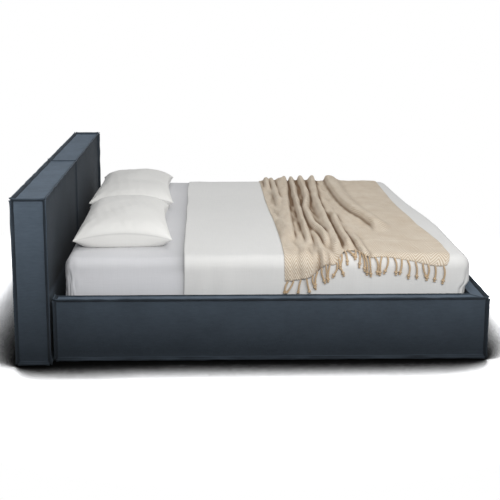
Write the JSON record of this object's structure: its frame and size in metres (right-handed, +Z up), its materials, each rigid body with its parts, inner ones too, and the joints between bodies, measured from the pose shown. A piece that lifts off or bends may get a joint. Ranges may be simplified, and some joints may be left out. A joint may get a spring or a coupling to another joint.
{
  "type": "lift-up storage bed",
  "caption": "Low upholstered box bed whose slatted platform, dressed with mattress and bedding, rises at the foot on a four-bar lift over a storage box.",
  "frame": {"origin": "on the floor under the middle of the bed", "axes": "+X towards the foot, +Z up, so the left side as seen from the foot is at -Y"},
  "size_m": [2.318, 2.09, 0.84],
  "materials": {
    "beech": "satin lacquer",
    "cap_plastic": "matt",
    "cover_linen": "fine linen weave",
    "glide_plastic": "matt",
    "grey_steel": "powder coat",
    "hardboard": "smooth",
    "pillow_cotton": "smooth cotton",
    "pine": "raw sawn",
    "sheet_cotton": "smooth cotton",
    "slate_velvet": "matt short pile",
    "stop_rubber": "matt",
    "strut_black": "semi gloss",
    "strut_chrome": "polished",
    "tassel_wool": "twisted yarn",
    "throw_wool": "herringbone twill",
    "ticking": "knitted",
    "webbing": "woven",
    "zinc_steel": "zinc plated"
  },
  "bodies": {
    "bed_base": {"headboard_section_left": "slate_velvet", "headboard_section_right": "slate_velvet", "headboard_core_left": "pine", "headboard_core_right": "pine", "headboard_joining_plate": "zinc_steel", "side_rail_left": "slate_velvet", "side_rail_right": "slate_velvet", "foot_rail": "slate_velvet", "side_rail_core_left": "pine", "side_rail_core_right": "pine", "foot_rail_core": "pine", "headboard_bracket_left": "zinc_steel", "headboard_bracket_right": "zinc_steel", "foot_bracket_left": "zinc_steel", "foot_bracket_right": "zinc_steel", "floor_panel_head_left": "hardboard", "floor_panel_head_right": "hardboard", "floor_panel_foot_left": "hardboard", "floor_panel_foot_right": "hardboard", "floor_ledger_left": "pine", "floor_ledger_right": "pine", "floor_bearers": "pine", "foot_ledger": "pine", "rubber_stops": "stop_rubber", "glides": "glide_plastic", "lift_base_plate_left": "grey_steel", "lift_base_plate_right": "grey_steel", "base_pivots_left": "zinc_steel", "base_pivots_right": "zinc_steel"},
    "rear_arm_left": {"rear_arm_left": "grey_steel"},
    "lift_platform": {"side_tube_left": "grey_steel", "side_tube_right": "grey_steel", "head_tube": "grey_steel", "foot_tube": "grey_steel", "centre_tube": "grey_steel", "cross_tubes": "grey_steel", "slats_left": "beech", "slats_right": "beech", "slat_caps_left": "cap_plastic", "slat_caps_right": "cap_plastic", "slat_caps_centre": "cap_plastic", "lift_bracket_left": "grey_steel", "lift_bracket_right": "grey_steel", "mattress_retainers": "grey_steel", "pull_strap": "webbing", "mattress": "ticking", "fitted_sheet": "sheet_cotton", "cover_sheet": "cover_linen", "pillow_left": "pillow_cotton", "pillow_right": "pillow_cotton", "throw": "throw_wool", "throw_tassels": "tassel_wool"},
    "rear_arm_right": {"rear_arm_right": "grey_steel"},
    "front_arm_left": {"front_arm_left": "grey_steel"},
    "front_arm_right": {"front_arm_right": "grey_steel"},
    "strut_cylinder_left": {"strut_cylinder_left": "strut_black"},
    "strut_cylinder_right": {"strut_cylinder_right": "strut_black"},
    "strut_rod_left": {"strut_rod_left": "strut_chrome"},
    "strut_rod_right": {"strut_rod_right": "strut_chrome"}
  },
  "joints": [
    {"name": "platform_lift", "type": "hinge", "parent": "bed_base", "child": "rear_arm_left", "pos_m": [-0.54, -0.90065, 0.13], "axis": [0, 1, 0], "range_deg": [0, 53.57]},
    {"name": "platform_tilt", "type": "hinge", "parent": "rear_arm_left", "child": "lift_platform", "pos_m": [-0.7665, -0.90065, 0.192], "axis": [0, -1, 0], "range_deg": [0, 87.57]},
    {"name": "rear_arm_right_swing", "type": "hinge", "parent": "bed_base", "child": "rear_arm_right", "pos_m": [-0.54, 0.90065, 0.13], "axis": [0, 1, 0], "range_deg": [0, 53.57]},
    {"name": "front_arm_left_swing", "type": "hinge", "parent": "bed_base", "child": "front_arm_left", "pos_m": [-0.02, -0.90065, 0.10946], "axis": [0, 1, 0], "range_deg": [0, 32.42]},
    {"name": "front_arm_right_swing", "type": "hinge", "parent": "bed_base", "child": "front_arm_right", "pos_m": [-0.02, 0.90065, 0.10946], "axis": [0, 1, 0], "range_deg": [0, 32.42]},
    {"name": "strut_left_swing", "type": "hinge", "parent": "bed_base", "child": "strut_cylinder_left", "pos_m": [-0.86, -0.878, 0.068], "axis": [0, -1, 0], "range_deg": [0, 12.79]},
    {"name": "strut_right_swing", "type": "hinge", "parent": "bed_base", "child": "strut_cylinder_right", "pos_m": [-0.86, 0.878, 0.068], "axis": [0, -1, 0], "range_deg": [0, 12.79]},
    {"name": "strut_left_stroke", "type": "slide", "parent": "strut_cylinder_left", "child": "strut_rod_left", "axis": [0.9903, 0, 0.1392], "range_m": [0, 0.10206]},
    {"name": "strut_right_stroke", "type": "slide", "parent": "strut_cylinder_right", "child": "strut_rod_right", "axis": [0.9903, 0, 0.1392], "range_m": [0, 0.10206]}
  ],
  "couplings": [
    {"joint": "platform_tilt", "follows": "platform_lift", "ratio": 1.6347},
    {"joint": "rear_arm_right_swing", "follows": "platform_lift", "ratio": 1},
    {"joint": "front_arm_left_swing", "follows": "platform_lift", "ratio": 0.60524},
    {"joint": "front_arm_right_swing", "follows": "platform_lift", "ratio": 0.60524},
    {"joint": "strut_left_swing", "follows": "platform_lift", "ratio": 0.2388},
    {"joint": "strut_right_swing", "follows": "platform_lift", "ratio": 0.2388},
    {"joint": "strut_left_stroke", "follows": "platform_lift", "m_per_rad": 0.10915},
    {"joint": "strut_right_stroke", "follows": "platform_lift", "m_per_rad": 0.10915}
  ]
}
